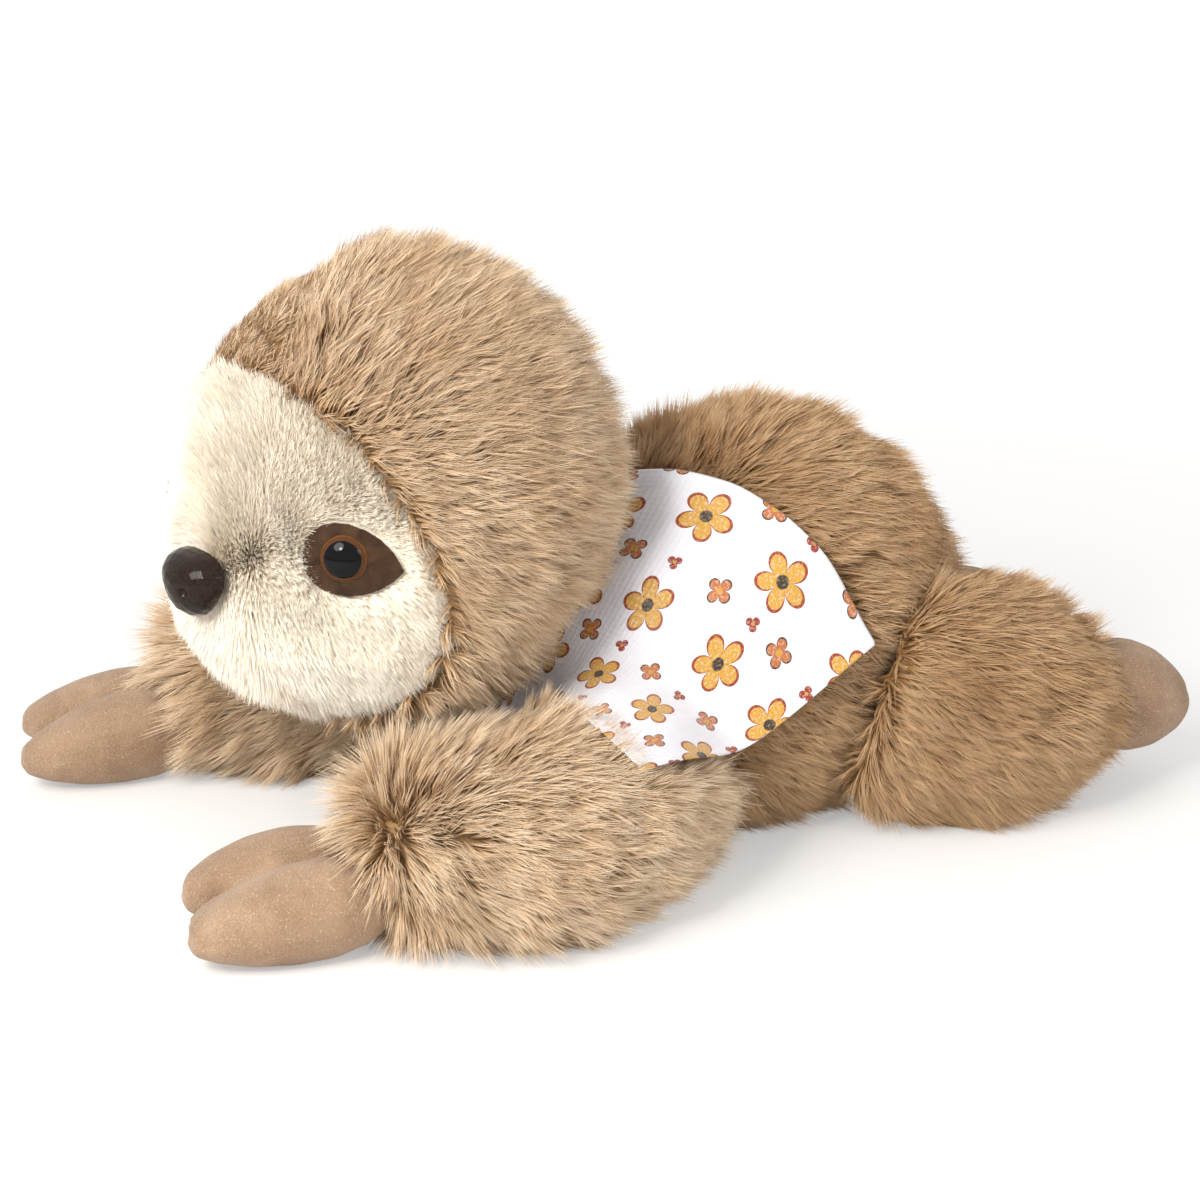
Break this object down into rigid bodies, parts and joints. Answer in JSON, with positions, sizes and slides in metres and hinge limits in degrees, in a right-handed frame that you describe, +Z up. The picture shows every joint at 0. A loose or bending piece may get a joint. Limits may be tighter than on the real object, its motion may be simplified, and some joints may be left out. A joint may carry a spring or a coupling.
{
  "type": "plush toy",
  "caption": "Plush two-toed sloth lying on its belly, with long tan pile, a cream face, plastic eyes and nose, and a white scarf with a print.",
  "frame": {"origin": "on the flat face under the belly that the toy rests on, midway between its left and right sides", "axes": "-Z is the way the belly's rest face looks, straight down; +Z is up; +Y runs from the head toward the feet along the toy's length; +X is toward the toy's own left side"},
  "size_m": [0.1948, 0.3038, 0.158],
  "materials": {
    "long_plush": "long pile, matte",
    "face_plush": "short pile, matte",
    "velboa": "short nap, matte",
    "felt": "felted, matte",
    "eye_plastic": "high gloss",
    "nose_plastic": "semi-gloss moulded",
    "washer_plastic": "moulded",
    "satin": "satin",
    "fibre": "loose polyester fibre",
    "pellet_cloth": "matte"
  },
  "bodies": {
    "torso": {"torso_cover": "long_plush", "torso_stuffing": "fibre", "pellet_bag": "pellet_cloth", "scarf_band": "satin", "scarf_flap": "satin"},
    "neck": {"neck_stuffing": "fibre"},
    "head": {"head_hood": "long_plush", "face_panel": "face_plush", "head_stuffing": "fibre", "nose": "nose_plastic", "nose_washer": "washer_plastic", "eye_patch_left": "felt", "eye_left": "eye_plastic", "eye_washer_left": "washer_plastic", "eye_patch_right": "felt", "eye_right": "eye_plastic", "eye_washer_right": "washer_plastic"},
    "arm_left": {"arm_cover_left": "long_plush", "arm_stuffing_left": "fibre"},
    "hand_left": {"hand_cover_left": "velboa", "hand_stuffing_left": "fibre"},
    "leg_left": {"leg_cover_left": "long_plush", "leg_stuffing_left": "fibre"},
    "foot_left": {"foot_cover_left": "velboa", "foot_stuffing_left": "fibre"},
    "arm_right": {"arm_cover_right": "long_plush", "arm_stuffing_right": "fibre"},
    "hand_right": {"hand_cover_right": "velboa", "hand_stuffing_right": "fibre"},
    "leg_right": {"leg_cover_right": "long_plush", "leg_stuffing_right": "fibre"},
    "foot_right": {"foot_cover_right": "velboa", "foot_stuffing_right": "fibre"}
  },
  "joints": [
    {"name": "neck_turn", "type": "hinge", "parent": "torso", "child": "neck", "pos_m": [0, -0.04585, 0.05935], "axis": [0, -0.7071, 0.7071], "range_deg": [-18, 18]},
    {"name": "head_nod", "type": "hinge", "parent": "neck", "child": "head", "pos_m": [0, -0.04585, 0.05935], "axis": [1, 0, 0], "range_deg": [-5, 8]},
    {"name": "arm_left_swing", "type": "hinge", "parent": "torso", "child": "arm_left", "pos_m": [0.042, -0.036, 0.0257], "axis": [0, 0, 1], "range_deg": [-4, 20]},
    {"name": "hand_left_flex", "type": "hinge", "parent": "arm_left", "child": "hand_left", "pos_m": [0.0589, -0.1002, 0.0257], "axis": [-0.9744, 0.225, 0], "range_deg": [0, 25]},
    {"name": "leg_left_swing", "type": "hinge", "parent": "torso", "child": "leg_left", "pos_m": [0.04, 0.04, 0.0312], "axis": [0, 0, -1], "range_deg": [-3, 15]},
    {"name": "foot_left_flex", "type": "hinge", "parent": "leg_left", "child": "foot_left", "pos_m": [0.04178, 0.09097, 0.029], "axis": [0.9994, -0.0349, 0], "range_deg": [-6, 15]},
    {"name": "arm_right_swing", "type": "hinge", "parent": "torso", "child": "arm_right", "pos_m": [-0.042, -0.042, 0.0257], "axis": [0, 0, -1], "range_deg": [-4, 20]},
    {"name": "hand_right_flex", "type": "hinge", "parent": "arm_right", "child": "hand_right", "pos_m": [-0.06598, -0.11094, 0.0257], "axis": [-0.9703, 0.2419, 0], "range_deg": [0, 25]},
    {"name": "leg_right_swing", "type": "hinge", "parent": "torso", "child": "leg_right", "pos_m": [-0.04, 0.04, 0.0312], "axis": [0, 0, 1], "range_deg": [-3, 15]},
    {"name": "foot_right_flex", "type": "hinge", "parent": "leg_right", "child": "foot_right", "pos_m": [-0.04178, 0.09097, 0.029], "axis": [0.9994, 0.0349, 0], "range_deg": [-6, 15]}
  ]
}
